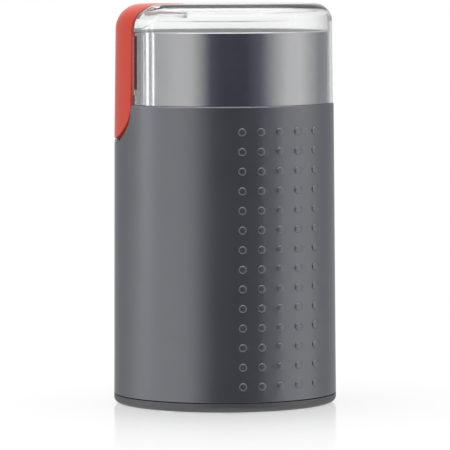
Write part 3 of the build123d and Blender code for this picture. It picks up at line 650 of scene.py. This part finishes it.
def make_grip_dots():
    """Round pads with soft edges, in a square grid that is pressed onto the tapered front."""
    low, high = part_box("body_shell")
    inputs = {
        "Pitch": DOT_PITCH,
        "Columns": DOT_COLUMNS,
        "Rows": DOT_ROWS,
        "First X": DOT_FIRST_X,
        "First Z": low.z + DOT_FIRST_RISE,
        "Dot Radius": DOT_RADIUS,
        "Dot Height": DOT_HEIGHT,
        "Squareness": DOT_SQUARENESS,
        "Foot Radius": BODY_FOOT_R,
        "Draft": BODY_DRAFT,
        "Bottom": low.z,
        "Top": high.z,
    }
    tree, bench, given = new_tree("grip_dot_grid", inputs)

    # One pad: a ball flattened and squared, with its height to the front
    round_form = {"Segments": DOT_SEGMENTS, "Rings": DOT_RINGS, "Radius": 1.0}
    ball = bench.node("GeometryNodeMeshUVSphere", round_form)
    x, y, z = bench.axes(bench.node("GeometryNodeInputPosition"))
    across = (x * x + y * y + TINY) ** 0.5
    swell = across ** (given["Squareness"] - 1.0) * given["Dot Radius"]
    lift = bench.maths("ABSOLUTE", z) ** given["Squareness"] * bench.maths("SIGN", z)
    squared = bench.vector(x * swell, lift * given["Dot Height"] * -1.0, y * swell)
    pad = bench.node("GeometryNodeSetPosition", {"Geometry": ball, "Position": squared})

    # The upright grid
    width = given["Pitch"] * (given["Columns"] - 1)
    height = given["Pitch"] * (given["Rows"] - 1)
    size = {"Size X": width, "Size Y": height, "Vertices X": given["Columns"], "Vertices Y": given["Rows"]}
    grid = bench.node("GeometryNodeMeshGrid", size)
    middle = bench.vector(given["First X"] + width * 0.5, 0.0, given["First Z"] + height * 0.5)
    pads = set_out(bench, moved(bench, grid, middle, (math.pi / 2, 0.0, 0.0)), pad)

    # Pressed onto the wall
    x, y, z = bench.axes(bench.node("GeometryNodeInputPosition"))
    climb = (z - given["Bottom"]) / (given["Top"] - given["Bottom"])
    wall_r = given["Foot Radius"] - given["Draft"] * climb - y
    depth = (wall_r * wall_r - x * x) ** 0.5
    on_wall = bench.vector(x, depth * -1.0, z)
    pressed = bench.node("GeometryNodeSetPosition", {"Geometry": pads, "Position": on_wall})
    close_tree(bench, pressed, "body_plastic")
    grow("grip_dots", tree, inputs, "housing", "body_plastic")


def make_base_screws():
    """Pan-head screws with a cross recess, seen from below."""
    low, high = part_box("base_screws")
    inputs = {
        "Circle Radius": SCREW_CIRCLE_R,
        "Head Radius": SCREW_HEAD_R,
        "Head Height": SCREW_HEAD_HEIGHT,
        "Shank Radius": SCREW_SHANK_R,
        "Cross Length": CROSS_LENGTH,
        "Cross Width": CROSS_WIDTH,
        "Cross Depth": CROSS_DEPTH,
        "Bottom": low.z,
        "Length": high.z - low.z,
    }
    tree, bench, given = new_tree("base_screw_set", inputs)
    head_height = given["Head Height"]

    # The recess, cut into the underside of the head
    arms = (given["Cross Length"], given["Cross Width"])
    slots = []
    for along, across in (arms, arms[::-1]):
        size = bench.vector(along, across, given["Cross Depth"] * 2.0)
        slots.append(bench.node("GeometryNodeMeshCube", {"Size": size}))
    cross = bench.node("GeometryNodeMeshBoolean", {1: slots}, operation="UNION", solver="EXACT")
    cross = raised(bench, cross, head_height * -0.5)
    disc = {"Vertices": SCREW_HEAD_SIDES, "Radius": given["Head Radius"], "Depth": head_height}
    head = bench.node("GeometryNodeMeshCylinder", disc)
    head = bench.node("GeometryNodeMeshBoolean", {0: head, 1: cross}, operation="DIFFERENCE", solver="EXACT")
    head = raised(bench, head, head_height * 0.5)

    shank_length = given["Length"] - head_height
    rod = {"Vertices": SCREW_SHANK_SIDES, "Radius": given["Shank Radius"], "Depth": shank_length}
    shank = raised(bench, bench.node("GeometryNodeMeshCylinder", rod), head_height + shank_length * 0.5)
    screw = bench.node("GeometryNodeJoinGeometry", {0: [head, shank]})

    ring = {"Vertices": SCREW_COUNT, "Radius": given["Circle Radius"]}
    circle = bench.node("GeometryNodeMeshCircle", ring)
    circle = moved(bench, circle, bench.vector(0.0, 0.0, given["Bottom"]), (0.0, 0.0, SCREW_FIRST_TURN))
    close_tree(bench, set_out(bench, circle, screw), "plated_steel", smooth=False)
    piece = grow("cross_head_screws", tree, inputs, "housing", "plated_steel")
    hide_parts("base_screws")


def make_return_spring():
    """A coil of round wire under the switch slider."""
    low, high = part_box("return_spring")
    inputs = {
        "Coil Radius": (high.x - low.x) / 2 - SPRING_WIRE_R,
        "Wire Radius": SPRING_WIRE_R,
        "Turns": SPRING_TURNS,
        "Height": high.z - low.z - 2 * SPRING_WIRE_R,
        "Centre X": (low.x + high.x) / 2,
        "Bottom": low.z + SPRING_WIRE_R,
    }
    tree, bench, given = new_tree("coiled_wire", inputs)
    coil = {
        "Resolution": SPRING_STEPS_A_TURN,
        "Rotations": given["Turns"],
        "Start Radius": given["Coil Radius"],
        "End Radius": given["Coil Radius"],
        "Height": given["Height"],
    }
    spiral = bench.node("GeometryNodeCurveSpiral", coil)
    ring = {"Resolution": SPRING_WIRE_SIDES, "Radius": given["Wire Radius"]}
    section = bench.node("GeometryNodeCurvePrimitiveCircle", ring)
    swept = {"Curve": spiral, "Profile Curve": section, "Fill Caps": True}
    wire = bench.node("GeometryNodeCurveToMesh", swept)
    wire = moved(bench, wire, bench.vector(given["Centre X"], 0.0, given["Bottom"]))
    close_tree(bench, wire, "plated_steel")
    piece = grow("return_coil", tree, inputs, "housing", "plated_steel")
    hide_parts("return_spring")
    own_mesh(piece)


def facing(place, aim):
    """The placing of a camera or a lamp that looks from one point at another."""
    turn = (aim - place).to_track_quat("-Z", "Y").to_matrix().to_4x4()
    return Matrix.Translation(place) @ turn


def make_camera():
    """A long lens a little above the lid, slightly to the left of the front."""
    camera = placed("studio_camera", bpy.data.cameras.new("studio_camera"))
    camera.data.lens = CAMERA_LENS
    camera.data.sensor_width = CAMERA_SENSOR
    camera.data.clip_start = CAMERA_NEAR
    camera.data.clip_end = CAMERA_FAR
    camera.matrix_world = facing(CAMERA_PLACE, CAMERA_AIM) @ Matrix.Rotation(CAMERA_ROLL, 4, "Z")
    bpy.context.scene.camera = camera


def mirrored_rays(bench):
    """Mask of the rays that a surface has mirrored."""
    bounces = bench.node("ShaderNodeLightPath", out="Glossy Depth")
    return bench.maths("GREATER_THAN", bounces, ONE_SURFACE)


def background_rays(bench):
    """Mask of the rays that see the white background, straight or through the lid."""
    seen = bench.node("ShaderNodeLightPath", out="Is Camera Ray")
    through = bench.node("ShaderNodeLightPath", out="Is Transmission Ray")
    return bench.maths("MAXIMUM", seen, through * (1.0 - mirrored_rays(bench)))


def bent_rays(bench, backward, upward):
    """Mask of the rays that the lid has bent to the back or upwards, by the parts of their direction."""
    depth = bench.node("ShaderNodeLightPath", out="Transmission Depth")
    entered = bench.maths("GREATER_THAN", depth, ONE_SURFACE)
    once = bench.maths("LESS_THAN", depth, ONE_WALL)
    risen = bench.maths("GREATER_THAN", upward, BENT_RISE)
    return entered * bench.maths("MAXIMUM", once * bench.rise(backward, BENT_BACKWARD), risen)


def make_world():
    """A studio that mirrored rays see as dark around the camera, with a white background and ceiling."""
    world = bpy.data.worlds.new("studio_surroundings")
    bpy.context.scene.world = world
    world.use_nodes = True
    world.node_tree.nodes.clear()
    bench = Bench(world.node_tree)
    x, y, z = bench.axes(bench.node("ShaderNodeTexCoord", out="Generated"))
    turn = bench.maths("ARCTAN2", x, y * -1.0) / (2.0 * math.pi) + 0.5
    level, low_level = (
        bench.node(
            "ShaderNodeValToRGB",
            {"Fac": turn},
            stops=[(0.5 + row[0] / 360.0, row[column]) for row in STUDIO_LEVELS],
        )
        for column in (1, 2)
    )
    for height, span, other in (
        (z * -1.0, LOW_DROP, low_level),
        (z * -1.0, TABLE_DROP, TABLE_LEVEL),
        (z, CEILING_RISE, CEILING_LEVEL),
    ):
        level = level + bench.rise(height, span) * (other - level)
    shown = bench.maths("MAXIMUM", background_rays(bench), bent_rays(bench, y, z))
    strength = bench.maths("MAXIMUM", shown, level)
    tint = shade_between(bench, strength / TINT_UP_TO, SHADE_TINT, WHITE)
    surface = bench.node("ShaderNodeBackground", {"Color": tint, "Strength": strength})
    bench.node("ShaderNodeOutputWorld", {"Surface": surface})


def make_floor():
    """A pale glossy table that keeps the grinder's shadow and a fading reflection."""
    mesh = bpy.data.meshes.new("studio_floor")
    corners = [
        (-TABLE_REACH, TABLE_FRONT, 0.0),
        (TABLE_REACH, TABLE_FRONT, 0.0),
        (TABLE_REACH, TABLE_REACH, 0.0),
        (-TABLE_REACH, TABLE_REACH, 0.0),
    ]
    mesh.from_pydata(corners, [], [(0, 1, 2, 3)])
    floor = placed("studio_floor", mesh)

    material, bench, place = new_finish("pale_table")
    reach = from_axis(bench, place)
    kept_white = background_rays(bench) * bench.rise(reach, TABLE_WHITE_R, TABLE_WHITE)
    gloss = GLOSS_AT_FOOT * bench.maths("EXPONENT", (reach - BODY_FOOT_R) / -GLOSS_FADE)
    matt = bench.node("ShaderNodeBsdfDiffuse", {"Color": TABLE_COLOUR})
    white = bench.node("ShaderNodeEmission", {"Color": (*WHITE, 1.0), "Strength": 1.0})
    pale = bench.node("ShaderNodeMixShader", {0: kept_white, 1: matt, 2: white})
    mirror = bench.node("ShaderNodeBsdfGlossy", {"Color": (*WHITE, 1.0), "Roughness": GLOSS_ROUGHNESS})
    table = bench.node("ShaderNodeMixShader", {0: gloss, 1: pale, 2: mirror})

    # Clear from below and to mirrored rays
    below = bench.node("ShaderNodeNewGeometry", out="Backfacing")
    unseen = bench.maths("MAXIMUM", below, mirrored_rays(bench))
    clear = bench.node("ShaderNodeBsdfTransparent")
    table = bench.node("ShaderNodeMixShader", {0: unseen, 1: table, 2: clear})
    bench.node("ShaderNodeOutputMaterial", {"Surface": table})
    mesh.materials.append(material)


def make_lamp(name, place, aim, width, height, watts):
    """A soft rectangular lamp."""
    light = bpy.data.lights.new(name, "AREA")
    light.shape = "RECTANGLE"
    light.size = width
    light.size_y = height
    light.energy = watts
    placed(name, light).matrix_world = facing(place, aim)


def make_windows():
    """Tall strips of light, side by side on the left."""
    for degrees, width, watts in WINDOWS:
        turn = math.radians(degrees)
        place = Vector((WINDOW_DISTANCE * math.sin(turn), -WINDOW_DISTANCE * math.cos(turn), WINDOW_Z))
        make_lamp("left_window", place, WINDOW_AIM, width, WINDOW_HEIGHT, watts)


make_plain_shell()
make_clear_lid()
make_grip_dots()
make_base_screws()
make_return_spring()
make_camera()
make_world()
make_floor()
make_lamp("top_softbox", SOFTBOX_PLACE, SOFTBOX_AIM, SOFTBOX_SIZE, SOFTBOX_SIZE, SOFTBOX_WATTS)
make_windows()
bpy.context.scene.view_settings.view_transform = "Standard"
